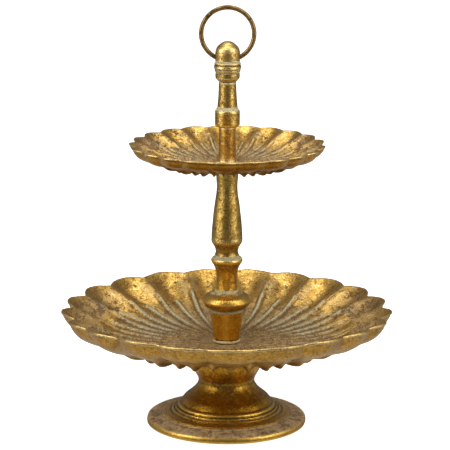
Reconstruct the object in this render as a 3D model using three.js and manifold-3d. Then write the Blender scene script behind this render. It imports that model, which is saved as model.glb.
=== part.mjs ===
// Two-tier cake stand: two shell-fluted cast dishes on a turned stem, carried by a bell-shaped foot and
// topped by a screw-on finial with a ring handle. Millimetres, +Z up, origin at the centre of the foot's
// underside. Every separate piece of the stand is one named mesh.
import * as THREE from "three";
import { mergeVertices } from "three/addons/utils/BufferGeometryUtils.js";
import Module from "manifold-3d";

const wasm = await Module();
wasm.setup();

// ---- Driving dimensions ----

const FOOT_RADIUS = 89;
const FELT = { radius: 84, thickness: 1.5 };
const PEDESTAL_TOP = { z: 79, radius: 42 };

const DISH = {
  radius: 185, // to the tips of the lobes
  seat: 80, // height of the flat underside
  floor: 92.5, // height of the flat middle of the inside
  rim: 132, // height of the lobe tips
  flatRadius: 35,
  hubRadius: 42,
  lobes: 21,
  notchDepth: 8.5,
  notchDrop: 1.6,
  firstLobe: 84, // degrees from +X
};
const RIM_THICKNESS = 2.6;
const BOWL_SHARE = 0.65; // of the underside's rise: the shallow bowl, the rest being the upturned edge
const UPPER_SCALE = 0.587; // the upper dish is the lower one at this size
const UPPER_SEAT = 287.5;
const UPPER_FIRST_LOBE = 78;

const M8 = { shaft: 3.9, clearance: 4.4, nutFlats: 13, nutHeight: 6.5, washer: 8, washerThickness: 1.6 };
const M6 = { shaft: 2.9, clearance: 3.3, nutFlats: 10, nutHeight: 5, washer: 6, washerThickness: 1.2 };
const THREAD_PLAY = 0.1; // between a shaft and the wall of its nut or insert
const GASKET = 0.6;
const RUNNING_GAP = 0.05; // between faces that turn on each other

const KNOP = { bottom: 127, top: 151 };
const BALUSTER = { bottom: 190, top: UPPER_SEAT - GASKET };
const SLEEVE_TOP = 336;
const COLLAR_TOP = 357;
const NECK_TOP = 386;
const FINIAL = { bottom: 386.9, seam: 408, top: 430.5, radius: 13.7 };
const RING = { centre: 438.4, radius: 28.9, wire: 2.55, pivot: 412.5, hole: 3.6, halfGap: 0.7 };

const STEM_SIDES = 20;
const FOOT_SIDES = 36;
const HIDDEN_SIDES = 16;
const STEPS_PER_LOBE = 4;

// ---- Finishes ----

const finish = (color, roughness, metalness) =>
  new THREE.MeshStandardMaterial({ color, roughness, metalness });
const goldLeaf = finish(0xb98a35, 0.38, 0.9);
const agedBrass = finish(0x8a6a34, 0.35, 0.95);
const brass = finish(0xc9a24a, 0.3, 1);
const steel = finish(0xb4b6b8, 0.35, 1);
const rubber = finish(0x2c2a28, 0.8, 0);
const felt = finish(0x3a2f26, 0.95, 0);

const stand = new THREE.Group();

function place(name, geometry, material) {
  const mesh = new THREE.Mesh(geometry, material);
  mesh.name = name;
  stand.add(mesh);
  return mesh;
}

// ---- Shape helpers ----

// A solid of revolution about +Z. draw adds to a path whose x is the radius and whose y is the height,
// running up the outside; the path is closed here.
function turned(sides, draw) {
  const path = new THREE.Path();
  draw(path);
  path.closePath();
  return new THREE.LatheGeometry(path.getPoints(1), sides).rotateX(Math.PI / 2);
}

// A smooth stretch of an outline through the given [radius, height] points.
function through(path, ...points) {
  path.splineThru(points.map(([r, z]) => new THREE.Vector2(r, z)));
}

// A plain ring or disc with square edges; bore 0 makes it a disc.
function disc(sides, bore, radius, bottom, top) {
  return turned(sides, (p) => {
    p.moveTo(bore, bottom);
    p.lineTo(radius, bottom);
    p.lineTo(radius, top);
    p.lineTo(bore, top);
  });
}

function hexNut(thread, bottom) {
  const corner = thread.nutFlats / Math.sqrt(3);
  const shape = new THREE.Shape();
  for (let i = 0; i < 6; i++) {
    const a = (i * Math.PI) / 3;
    shape[i ? "lineTo" : "moveTo"](corner * Math.cos(a), corner * Math.sin(a));
  }
  shape.closePath();
  const bore = new THREE.Path().absarc(0, 0, thread.shaft + THREAD_PLAY, 0, 2 * Math.PI, true);
  shape.holes.push(bore);
  return new THREE.ExtrudeGeometry(shape, {
    depth: thread.nutHeight,
    bevelEnabled: false,
    curveSegments: HIDDEN_SIDES / 2,
  }).translate(0, 0, bottom);
}

function washer(thread, bottom) {
  return disc(HIDDEN_SIDES, thread.clearance, thread.washer, bottom, bottom + thread.washerThickness);
}

// geometry as a manifold-3d solid, for a boolean cut
function solid(geometry) {
  const bare = geometry.index ? geometry.toNonIndexed() : geometry.clone();
  bare.deleteAttribute("normal");
  bare.deleteAttribute("uv");
  const merged = mergeVertices(bare, 1e-3);
  return new wasm.Manifold(
    new wasm.Mesh({
      numProp: 3,
      vertProperties: merged.attributes.position.array,
      triVerts: new Uint32Array(merged.index.array),
    }),
  );
}

function cut(body, tool) {
  const mesh = solid(body).subtract(solid(tool)).getMesh();
  return new THREE.BufferGeometry()
    .setAttribute("position", new THREE.BufferAttribute(mesh.vertProperties, 3))
    .setIndex(new THREE.BufferAttribute(mesh.triVerts, 1));
}

// ---- The fluted dishes ----

const smoothstep = (a, b, x) => THREE.MathUtils.smoothstep(x, a, b);

// How far a direction lies from its lobe's crest: 0 on the crest, 1 in the notch between two lobes.
function awayFromCrest(angle, firstLobe) {
  const turns = ((angle - THREE.MathUtils.degToRad(firstLobe)) * DISH.lobes) / (2 * Math.PI);
  return 2 * Math.abs(turns - Math.round(turns));
}

// Heights of the inside and the underside at a radius of the full-size dish.
function insideHeight(r) {
  const t = Math.max(0, (r - DISH.flatRadius) / (DISH.radius - DISH.flatRadius));
  return DISH.floor + (DISH.rim - DISH.floor) * t ** 2.6;
}
function undersideHeight(r) {
  const t = Math.max(0, (r - DISH.hubRadius) / (DISH.radius - DISH.hubRadius));
  const rise = DISH.rim - RIM_THICKNESS - DISH.seat;
  return DISH.seat + rise * (BOWL_SHARE * t ** 1.25 + (1 - BOWL_SHARE) * t ** 8);
}

// One closed surface: rings of points from the bore out along the inside, round the rim and back along
// the underside. Towards the rim each ring is drawn in between the lobes.
function dish(scale, seat, firstLobe, bore) {
  const radii = [bore / scale, DISH.flatRadius, 105, 135, 160, DISH.radius];
  const rings = [
    ...radii.map((r) => [r, insideHeight(r)]),
    [DISH.radius - 0.4, DISH.rim - RIM_THICKNESS],
    ...[166, 138, 100, DISH.hubRadius, bore / scale].map((r) => [r, undersideHeight(r)]),
  ];
  const count = DISH.lobes * STEPS_PER_LOBE;
  const start = THREE.MathUtils.degToRad(firstLobe);
  const positions = [];
  for (const [r, z] of rings)
    for (let i = 0; i < count; i++) {
      const angle = start + (2 * Math.PI * i) / count;
      const notch = awayFromCrest(angle, firstLobe) ** 2 * smoothstep(0.5, 1, r / DISH.radius);
      const drawn = (r - DISH.notchDepth * notch) * scale;
      const height = seat + (z - DISH.seat - DISH.notchDrop * notch) * scale;
      positions.push(drawn * Math.cos(angle), drawn * Math.sin(angle), height);
    }
  const triangles = [];
  rings.forEach((_, k) => {
    const here = k * count;
    const next = ((k + 1) % rings.length) * count;
    for (let i = 0; i < count; i++) {
      const j = (i + 1) % count;
      triangles.push(here + i, next + i, next + j, here + i, next + j, here + j);
    }
  });
  return new THREE.BufferGeometry()
    .setAttribute("position", new THREE.Float32BufferAttribute(positions, 3))
    .setIndex(triangles);
}

// ---- Foot ----

function addFoot() {
  const plate = { radius: 56, bottom: 10.1, top: 12.1 };
  const washerBottom = plate.bottom - M8.washerThickness;
  const nutBottom = washerBottom - M8.nutHeight;

  place("base_felt", disc(FOOT_SIDES, 0, FELT.radius, 0, FELT.thickness), felt);
  place("base_plate", disc(FOOT_SIDES, M8.clearance, plate.radius, plate.bottom, plate.top), steel);
  place("base_washer", washer(M8, washerBottom), steel);
  place("base_nut", hexNut(M8, nutBottom), steel);

  // Hollow bell: recess for the felt, ledge for the plate, bored boss under the dish.
  const pedestal = turned(FOOT_SIDES, (p) => {
    p.moveTo(M8.clearance, 66);
    p.lineTo(27, 66);
    through(p, [25.5, 52], [34, 36], [50, 16]);
    p.lineTo(50, plate.top);
    p.lineTo(plate.radius + 0.5, plate.top);
    p.lineTo(plate.radius + 0.5, FELT.thickness);
    p.lineTo(FELT.radius + 0.4, FELT.thickness);
    p.lineTo(FELT.radius + 0.4, 0.4);
    p.lineTo(FOOT_RADIUS - 0.8, 0.4);
    through(p, [FOOT_RADIUS, 3.4], [FOOT_RADIUS - 0.5, 6.4], [86.4, 8.2]);
    p.lineTo(74, 10.3);
    p.lineTo(71.4, 11);
    through(p, [69.4, 13.1], [66.4, 14.6], [62.9, 14.9]);
    p.lineTo(61.4, 16.8);
    p.lineTo(58.6, 17.5);
    p.lineTo(57.4, 19.2);
    p.lineTo(55, 19.8);
    through(p, [54.4, 22], [52.3, 23.6]);
    through(p, [46.8, 30.8], [36.6, 39.2], [31.5, 47.6], [32.4, 53], [36.7, 61], [40.4, 70]);
    p.lineTo(PEDESTAL_TOP.radius, PEDESTAL_TOP.z - 2.5);
    p.lineTo(PEDESTAL_TOP.radius, PEDESTAL_TOP.z);
    p.lineTo(M8.clearance, PEDESTAL_TOP.z);
  });
  place("pedestal", pedestal, goldLeaf);
  const gasket = disc(HIDDEN_SIDES, M8.clearance, PEDESTAL_TOP.radius - 4, PEDESTAL_TOP.z, DISH.seat);
  place("pedestal_gasket", gasket, rubber);
}

// ---- Lower dish, its clamp and the stem above it ----

function addLowerStem() {
  place("lower_dish", dish(1, DISH.seat, DISH.firstLobe, M8.clearance), goldLeaf);

  const nutBottom = DISH.floor + M8.washerThickness;
  place("lower_clamp_washer", washer(M8, DISH.floor), steel);
  place("lower_clamp_nut", hexNut(M8, nutBottom), steel);
  const ferruleBottom = DISH.floor + GASKET;
  place("ferrule_gasket", disc(STEM_SIDES, 10.4, 13.6, DISH.floor, ferruleBottom), rubber);

  // Tapered cup that hides the clamp nut.
  const clampRoom = { radius: 10, top: nutBottom + M8.nutHeight + 1.5 };
  place(
    "ferrule",
    turned(STEM_SIDES, (p) => {
      p.moveTo(M8.clearance, clampRoom.top);
      p.lineTo(clampRoom.radius, clampRoom.top);
      p.lineTo(clampRoom.radius, ferruleBottom);
      p.lineTo(14.5, ferruleBottom);
      through(p, [15.4, 94.2], [14.5, 96.2]);
      through(p, [16.2, 110], [18, 125.4], [18.8, KNOP.bottom]);
      p.lineTo(M8.clearance, KNOP.bottom);
    }),
    goldLeaf,
  );

  place(
    "knop",
    turned(STEM_SIDES, (p) => {
      p.moveTo(M8.clearance, KNOP.bottom);
      p.lineTo(20.2, KNOP.bottom);
      p.lineTo(20.9, 128.6);
      through(p, [24.8, 132.8], [26.6, 138.4], [25.4, 143.4], [20.6, 147.6], [13.6, KNOP.top]);
      p.lineTo(M8.clearance, KNOP.top);
    }),
    goldLeaf,
  );

  place(
    "trumpet_neck",
    turned(STEM_SIDES, (p) => {
      p.moveTo(M8.clearance, KNOP.top);
      p.lineTo(13, KNOP.top);
      through(p, [11.5, 155], [10.9, 166], [12, 174], [14.1, 179.5]);
      through(p, [15.2, 181.8], [17.3, 184.8], [17.4, 187.2], [15.3, BALUSTER.bottom]);
      p.lineTo(M8.clearance, BALUSTER.bottom);
    }),
    goldLeaf,
  );
}

function addBaluster() {
  const foot = { radius: 6, top: BALUSTER.bottom + 20, roof: 216 };
  const head = { radius: 5, bottom: 270, floor: 264 };
  const slack = 0.1;
  place(
    "baluster",
    turned(STEM_SIDES, (p) => {
      p.moveTo(0, foot.roof);
      p.lineTo(M8.clearance, foot.roof);
      p.lineTo(M8.clearance, foot.top + 0.3);
      p.lineTo(foot.radius + slack, foot.top + 0.3);
      p.lineTo(foot.radius + slack, BALUSTER.bottom);
      p.lineTo(14, BALUSTER.bottom);
      through(p, [13.2, 193.2], [12.8, 197], [13.9, 201], [16.6, 205.7], [17.4, 210]);
      through(p, [16.7, 223], [14.9, 241], [12.8, 255], [11.5, 268], [12.1, 279], [12.3, BALUSTER.top]);
      p.lineTo(head.radius + slack, BALUSTER.top);
      p.lineTo(head.radius + slack, head.bottom);
      p.lineTo(M6.clearance, head.bottom);
      p.lineTo(M6.clearance, head.floor);
      p.lineTo(0, head.floor);
    }),
    goldLeaf,
  );
  const insert = (thread, part, bottom, top) =>
    disc(HIDDEN_SIDES, thread.shaft + THREAD_PLAY, part.radius, bottom, top);
  place("baluster_foot_insert", insert(M8, foot, BALUSTER.bottom + 0.2, foot.top), brass);
  place("baluster_head_insert", insert(M6, head, head.bottom, BALUSTER.top - 0.2), brass);
  place("lower_rod", disc(HIDDEN_SIDES, 0, M8.shaft, 1.9, foot.roof - 2), steel);
  place("upper_rod", disc(HIDDEN_SIDES, 0, M6.shaft, head.floor + 2, 401), steel);
}

// ---- Upper dish, its clamp and the stem above it ----

function addUpperStem() {
  const floor = UPPER_SEAT + (DISH.floor - DISH.seat) * UPPER_SCALE;
  const nutBottom = floor + M6.washerThickness;
  const sleeveBottom = floor + GASKET;
  place("upper_gasket_below", disc(HIDDEN_SIDES, 5.6, 11, BALUSTER.top, UPPER_SEAT), rubber);
  place("upper_dish", dish(UPPER_SCALE, UPPER_SEAT, UPPER_FIRST_LOBE, M6.clearance), goldLeaf);
  place("upper_clamp_washer", washer(M6, floor), steel);
  place("upper_clamp_nut", hexNut(M6, nutBottom), steel);
  place("upper_gasket_above", disc(HIDDEN_SIDES, 7.6, 10.8, floor, sleeveBottom), rubber);

  const clampRoom = { radius: 7.2, top: nutBottom + M6.nutHeight + 1.2 };
  place(
    "sleeve",
    turned(STEM_SIDES, (p) => {
      p.moveTo(M6.clearance, clampRoom.top);
      p.lineTo(clampRoom.radius, clampRoom.top);
      p.lineTo(clampRoom.radius, sleeveBottom);
      p.lineTo(12, sleeveBottom);
      through(p, [10.3, 299], [9.5, 307], [9.4, 320]);
      p.lineTo(9.4, SLEEVE_TOP);
      p.lineTo(M6.clearance, SLEEVE_TOP);
    }),
    goldLeaf,
  );

  place(
    "sleeve_collar",
    turned(STEM_SIDES, (p) => {
      p.moveTo(M6.clearance, SLEEVE_TOP);
      p.lineTo(11.4, SLEEVE_TOP);
      through(p, [13, 337], [13.8, 339.2]);
      p.lineTo(13.8, 352.6);
      through(p, [13.4, 355], [12.3, 356.4]);
      p.lineTo(12, COLLAR_TOP);
      p.lineTo(M6.clearance, COLLAR_TOP);
    }),
    goldLeaf,
  );

  place(
    "spindle_neck",
    turned(STEM_SIDES, (p) => {
      p.moveTo(M6.clearance, COLLAR_TOP);
      p.lineTo(11.3, COLLAR_TOP);
      through(p, [10.9, 362], [10.2, 370], [9.8, 378]);
      p.lineTo(9.7, NECK_TOP);
      p.lineTo(M6.clearance, NECK_TOP);
    }),
    goldLeaf,
  );
}

// ---- Finial: washer, beaded collar with its insert, hollow dome and the split ring ----

// The ring's centre line, from one end round the outside to the other; the gap is at the bottom.
class RingLine extends THREE.Curve {
  getPoint(t, target = new THREE.Vector3()) {
    const gap = RING.halfGap / RING.radius;
    const angle = gap + t * 2 * (Math.PI - gap) - Math.PI / 2;
    return target.set(RING.radius * Math.cos(angle), 0, RING.centre + RING.radius * Math.sin(angle));
  }
}

function addFinial() {
  const insert = { radius: 5, bottom: 387.4, top: 401.6 };
  const washerTop = FINIAL.bottom - RUNNING_GAP;
  place(
    "finial_washer",
    disc(STEM_SIDES, M6.clearance, 9.3, NECK_TOP + RUNNING_GAP, washerTop),
    rubber,
  );
  place(
    "finial_collar",
    turned(STEM_SIDES, (p) => {
      p.moveTo(0, 402.4);
      p.lineTo(insert.radius + 0.1, 402.4);
      p.lineTo(insert.radius + 0.1, FINIAL.bottom);
      p.lineTo(10.7, FINIAL.bottom);
      through(p, [12.7, 389.1], [13.5, 391.5], [13.5, 394.5], [13.4, 396.8]);
      through(p, [14.2, 398.2], [14.1, 399.4], [15.1, 402.3], [14.5, 405.4], [14, 406.4], [13.4, FINIAL.seam]);
      p.lineTo(10.2, FINIAL.seam);
      p.lineTo(10.2, 406);
      p.lineTo(0, 406);
    }),
    goldLeaf,
  );
  const insertBody = disc(HIDDEN_SIDES, M6.shaft + 0.15, insert.radius, insert.bottom, insert.top);
  place("finial_insert", insertBody, brass);

  const dome = turned(STEM_SIDES, (p) => {
    p.moveTo(11.7, FINIAL.seam);
    p.lineTo(13.5, FINIAL.seam);
    p.lineTo(FINIAL.radius, FINIAL.seam + 0.9);
    p.lineTo(FINIAL.radius, 418.6);
    through(p, [12.6, 422.1], [9.1, 426.5], [5.4, 429.3], [0, FINIAL.top]);
    p.lineTo(0, 420);
    p.lineTo(10.4, 420);
    p.lineTo(11.7, 418.6);
  });
  const crossHole = new THREE.CylinderGeometry(RING.hole, RING.hole, 40, HIDDEN_SIDES)
    .rotateZ(Math.PI / 2)
    .translate(0, 0, RING.pivot);
  place("finial_dome", cut(dome, crossHole), goldLeaf);

  const wire = new THREE.Shape().absarc(0, 0, RING.wire, 0, 2 * Math.PI, false);
  const ring = new THREE.ExtrudeGeometry(wire, {
    steps: 44,
    curveSegments: 5,
    extrudePath: new RingLine(),
  });
  place("ring_handle", ring, agedBrass);
}

addFoot();
addLowerStem();
addBaluster();
addUpperStem();
addFinial();

export default stand;
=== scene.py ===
"""Two-tier cake stand in rubbed antique gold leaf.

Each sub-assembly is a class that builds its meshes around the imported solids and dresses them. Outlines are
in millimetres: a radius from the stem's axis, and a height above the lowest point of the piece's own solid.
"""

from __future__ import annotations

import logging
import math
from dataclasses import dataclass, field
from enum import Enum
from typing import Iterable, Sequence

import bmesh
import bpy
import numpy as np
from mathutils import Matrix, Vector, noise

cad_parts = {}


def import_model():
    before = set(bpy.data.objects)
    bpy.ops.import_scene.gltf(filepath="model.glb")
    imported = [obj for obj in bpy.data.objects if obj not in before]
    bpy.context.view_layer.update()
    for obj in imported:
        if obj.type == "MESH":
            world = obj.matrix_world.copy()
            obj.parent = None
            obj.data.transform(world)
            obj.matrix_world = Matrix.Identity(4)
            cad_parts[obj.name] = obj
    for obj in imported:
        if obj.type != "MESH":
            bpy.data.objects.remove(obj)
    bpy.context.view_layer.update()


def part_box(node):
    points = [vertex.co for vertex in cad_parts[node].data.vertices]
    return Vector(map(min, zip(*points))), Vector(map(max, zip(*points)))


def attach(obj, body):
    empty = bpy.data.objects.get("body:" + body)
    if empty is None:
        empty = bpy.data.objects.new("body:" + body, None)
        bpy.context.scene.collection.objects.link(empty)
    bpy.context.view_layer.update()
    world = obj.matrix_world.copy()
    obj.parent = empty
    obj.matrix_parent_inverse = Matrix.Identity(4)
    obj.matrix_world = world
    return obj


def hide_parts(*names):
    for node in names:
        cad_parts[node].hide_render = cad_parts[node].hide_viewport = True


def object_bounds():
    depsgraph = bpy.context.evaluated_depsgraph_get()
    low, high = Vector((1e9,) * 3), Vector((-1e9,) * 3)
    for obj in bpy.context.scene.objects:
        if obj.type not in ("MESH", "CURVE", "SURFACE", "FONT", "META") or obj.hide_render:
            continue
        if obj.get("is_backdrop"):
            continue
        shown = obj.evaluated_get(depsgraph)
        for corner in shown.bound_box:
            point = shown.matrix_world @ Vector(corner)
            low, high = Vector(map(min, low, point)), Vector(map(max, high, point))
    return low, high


MM = 0.001
TURN = 2 * math.pi
LOG = logging.getLogger("cake_stand")

Point = tuple[float, float]
Colour = tuple[float, float, float]
Masks = dict[str, np.ndarray]


# ---- Small numeric helpers ----


def smoothstep(low: float, high: float, value: np.ndarray | float) -> np.ndarray:
    """Ease from 0 at low to 1 at high."""
    t = np.clip((np.asarray(value, dtype=float) - low) / (high - low), 0.0, 1.0)
    return t * t * (3 - 2 * t)


@dataclass(frozen=True)
class Span:
    """A stretch where something comes in and goes out again.

    Attributes:
        start: where it begins.
        full: where it has come in.
        fades: where it begins to go.
        gone: where it has gone.
    """

    start: float
    full: float
    fades: float
    gone: float

    def at(self, value: np.ndarray) -> np.ndarray:
        """Its strength at each value, 0 to 1."""
        return smoothstep(self.start, self.full, value) * (1 - smoothstep(self.fades, self.gone, value))


def grain(points: np.ndarray, size: float, seed: float = 0.0) -> np.ndarray:
    """Smooth noise at points.

    Args:
        points: positions in metres, one per row.
        size: typical distance between bumps, in metres.
        seed: shifts the pattern, so that two uses differ.

    Returns:
        One value per point, about -1 to 1.
    """
    shift = Vector((seed * 7.3, seed * 3.1, seed * 5.7))
    return np.array([noise.noise(Vector(p) / size + shift) for p in points.tolist()])


# ---- Meshes ----


@dataclass
class Skin:
    """A surface in the making: a grid of points, closed both ways unless it ends in poles.

    Attributes:
        grid: positions in metres, shaped (rows, columns, 3); columns run round the axis.
        masks: values per grid point, shaped (rows, columns), that finishes read by name.
        looped: whether the last row joins the first one.
    """

    grid: np.ndarray
    masks: Masks = field(default_factory=dict)
    looped: bool = True

    def quads(self) -> list[tuple[int, int, int, int]]:
        """Faces of the grid, facing out.

        Returns:
            Four point numbers per face.
        """
        rows, columns = self.grid.shape[:2]
        last = rows if self.looped else rows - 1
        here = np.arange(last)[:, None] * columns + np.arange(columns)[None, :]
        across = np.roll(here, -1, axis=1)
        above = (here + columns) % (rows * columns)
        above_across = (across + columns) % (rows * columns)
        return np.stack([here, across, above_across, above], axis=-1).reshape(-1, 4).tolist()

    def build(self, name: str, material: bpy.types.Material) -> bpy.types.Object:
        """Make the Blender object.

        Args:
            name: the piece's name.
            material: its one material.

        Returns:
            The object, linked to the scene, with points that coincide welded together.
        """
        mesh = bpy.data.meshes.new(name)
        mesh.from_pydata(self.grid.reshape(-1, 3).tolist(), [], self.quads())
        for mask, values in self.masks.items():
            layer = mesh.attributes.new(mask, "FLOAT", "POINT")
            layer.data.foreach_set("value", np.ascontiguousarray(values, dtype=np.float32).ravel())
        piece = bpy.data.objects.new(name, mesh)
        bpy.context.scene.collection.objects.link(piece)
        weld(mesh)
        mesh.polygons.foreach_set("use_smooth", [True] * len(mesh.polygons))
        mesh.materials.append(material)
        return piece


def weld(mesh: bpy.types.Mesh, distance: float = 1e-6) -> None:
    """Merge points that coincide, and drop the faces that vanish.

    Args:
        mesh: changed in place.
        distance: how close points have to be, in metres.
    """
    work = bmesh.new()
    work.from_mesh(mesh)
    bmesh.ops.remove_doubles(work, verts=work.verts, dist=distance)
    bmesh.ops.dissolve_degenerate(work, edges=work.edges, dist=distance)
    work.to_mesh(mesh)
    work.free()


# ---- Outlines of turned pieces ----


class Bend(Enum):
    """How a stretch of an outline passes through its points."""

    STRAIGHT = "straight"
    FLOWING = "flowing"


@dataclass(frozen=True)
class Stretch:
    """Part of an outline: points that are joined by straight lines or by one flowing curve."""

    bend: Bend
    points: tuple[Point, ...]


def straight(*points: Point) -> Stretch:
    """Straight runs to each point in turn."""
    return Stretch(Bend.STRAIGHT, points)


def flowing(*points: Point) -> Stretch:
    """One smooth curve from where the outline is through the points."""
    return Stretch(Bend.FLOWING, points)


def curve_through(points: Sequence[Point], pieces: int = 10) -> np.ndarray:
    """Catmull-Rom curve.

    Args:
        points: what it passes through.
        pieces: how many each stretch between two of them is cut into.

    Returns:
        Points along the curve, one per row.
    """
    p = np.array(points, dtype=float)
    ends = np.vstack([p[0], p, p[-1]])
    out = [p[0]]
    for k in range(1, len(ends) - 2):
        a, b, c, d = ends[k - 1 : k + 3]
        square, cube = 2 * a - 5 * b + 4 * c - d, 3 * b - a - 3 * c + d
        for t in np.linspace(0, 1, pieces + 1)[1:]:
            out.append(0.5 * (2 * b + (c - a) * t + square * t**2 + cube * t**3))
    return np.array(out)


@dataclass(frozen=True)
class Outline:
    """Closed half-section of a turned piece, anticlockwise from the bore's lower end.

    Attributes:
        stretches: the outline's parts in order; the last point joins the first.
        softness: how far from a corner its rounding starts, in millimetres.
        step: longest distance between points, in millimetres.
    """

    stretches: tuple[Stretch, ...]
    softness: float = 0.45
    step: float = 0.8

    def corners(self) -> np.ndarray:
        """The outline as drawn, before its corners are softened.

        Returns:
            Points as (radius, height), one per row.
        """
        drawn: list[np.ndarray] = []
        for stretch in self.stretches:
            if stretch.bend is Bend.FLOWING and drawn:
                drawn.extend(curve_through([tuple(drawn[-1]), *stretch.points])[1:])
            elif stretch.bend is Bend.FLOWING:
                drawn.extend(curve_through(stretch.points))
            else:
                drawn.extend(np.array(stretch.points, dtype=float))
        return np.array(drawn)

    def sampled(self) -> np.ndarray:
        """The finished loop, with soft corners and evenly filled.

        Returns:
            Points as (radius, height), one per row.
        """
        p = self.corners()
        before, after = np.roll(p, 1, axis=0), np.roll(p, -1, axis=0)
        soft: list[np.ndarray] = []
        for a, b, c in zip(before, p, after):
            u, v = a - b, c - b
            lu, lv = np.linalg.norm(u), np.linalg.norm(v)
            cosine = float(u @ v / (lu * lv))
            if cosine < -0.94 or b[0] < 1e-6:
                soft.append(b)
                continue
            cut = min(self.softness, 0.4 * lu, 0.4 * lv)
            start, end = b + u / lu * cut, b + v / lv * cut
            for t in np.linspace(0, 1, 5):
                soft.append((1 - t) ** 2 * start + 2 * t * (1 - t) * b + t**2 * end)
        out: list[np.ndarray] = []
        for a, b in zip(soft, soft[1:] + soft[:1]):
            count = max(1, math.ceil(np.linalg.norm(b - a) / self.step))
            out.extend(a + (b - a) * k / count for k in range(count))
        return np.array(out)


def half_section(*stretches: Stretch, softness: float = 0.45, step: float = 0.8) -> Outline:
    """The outline that stretches make in order."""
    return Outline(stretches, softness, step)


def bulge(loop: np.ndarray, reach: float) -> np.ndarray:
    """How far each point of a closed outline stands out from the line between its neighbours.

    Args:
        loop: outline points in millimetres.
        reach: distance along the outline to the two neighbours, in millimetres.

    Returns:
        Millimetres per point, positive where the outline is convex.
    """
    steps = np.linalg.norm(np.roll(loop, -1, axis=0) - loop, axis=1)
    length = float(steps.sum())
    at = np.concatenate([[0.0], np.cumsum(steps)])
    closed = np.vstack([loop, loop[:1]])

    def along(distance: np.ndarray) -> np.ndarray:
        """The outline's points at distances along it."""
        return np.stack([np.interp(np.mod(distance, length), at, closed[:, k]) for k in (0, 1)], axis=1)

    back, ahead = along(at[:-1] - reach), along(at[:-1] + reach)
    chord = ahead - back
    offset = loop - back
    size = np.maximum(np.linalg.norm(chord, axis=1), 1e-9)
    return (chord[:, 1] * offset[:, 0] - chord[:, 0] * offset[:, 1]) / size


# ---- Finishes ----


class Wire:
    """A value in a node tree, which plain arithmetic extends."""

    def __init__(self, board: Board, socket: bpy.types.NodeSocket) -> None:
        """Hold one output of a node on board."""
        self.board, self.socket = board, socket

    def __add__(self, other: Wire | float) -> Wire:
        """Sum."""
        return self.board.math("ADD", self, other)

    def __sub__(self, other: Wire | float) -> Wire:
        """Difference."""
        return self.board.math("SUBTRACT", self, other)

    def __mul__(self, other: Wire | float) -> Wire:
        """Product."""
        return self.board.math("MULTIPLY", self, other)

    def held(self) -> Wire:
        """The same value, held between 0 and 1."""
        self.socket.node.use_clamp = True
        return self


class Board:
    """Short-hand for wiring one node tree."""

    def __init__(self, tree: bpy.types.NodeTree) -> None:
        """Wire nodes in tree."""
        self.tree = tree

    def node(self, kind: str, settings: dict[str, object] | None = None, **inputs: object) -> bpy.types.Node:
        """Add a node.

        Args:
            kind: its type.
            settings: its properties.
            inputs: what goes into its sockets, by name, with _ for a space.

        Returns:
            The node.
        """
        made = self.tree.nodes.new(kind)
        for key, value in (settings or {}).items():
            setattr(made, key, value)
        for key, value in inputs.items():
            self.feed(made.inputs[key.replace("_", " ")], value)
        return made

    def feed(self, socket: bpy.types.NodeSocket, value: Wire | Colour | float) -> None:
        """Link a value to a socket, or set the socket's own number or colour.

        Args:
            socket: an input.
            value: what goes into it.
        """
        if isinstance(value, Wire):
            self.tree.links.new(value.socket, socket)
        else:
            socket.default_value = (*value, 1.0) if isinstance(value, tuple) else value

    def place(self, output: str) -> Wire:
        """A position that textures use."""
        return Wire(self, self.node("ShaderNodeTexCoord").outputs[output])

    def math(self, operation: str, *values: Wire | float) -> Wire:
        """One arithmetic step.

        Args:
            operation: which one.
            values: one or two.

        Returns:
            The result.
        """
        made = self.node("ShaderNodeMath", {"operation": operation})
        for socket, value in zip(made.inputs, values):
            self.feed(socket, value)
        return Wire(self, made.outputs[0])

    def most(self, *values: Wire) -> Wire:
        """The greatest of some values."""
        first, *others = values
        return self.math("MAXIMUM", first, self.most(*others)) if others else first

    def ease(self, value: Wire, low: float, high: float, start: float = 0.0, end: float = 1.0) -> Wire:
        """Smooth ramp.

        Args:
            value: what it follows.
            low: value where it starts.
            high: value where it ends.
            start: its level at low and below.
            end: its level at high and above.

        Returns:
            The level.
        """
        made = self.node("ShaderNodeMapRange", {"interpolation_type": "SMOOTHSTEP"}, Value=value)
        for key, entry in (("From Min", low), ("From Max", high), ("To Min", start), ("To Max", end)):
            self.feed(made.inputs[key], entry)
        return Wire(self, made.outputs["Result"])

    def blend(self, factor: Wire, a: Wire | Colour, b: Wire | Colour) -> Wire:
        """Mix of two colours.

        Args:
            factor: share of the second, 0 to 1.
            a: the first.
            b: the second.

        Returns:
            The colour.
        """
        made = self.node("ShaderNodeMix", {"data_type": "RGBA"})
        for socket, value in ((0, factor), (6, a), (7, b)):
            self.feed(made.inputs[socket], value)
        return Wire(self, made.outputs[2])


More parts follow.
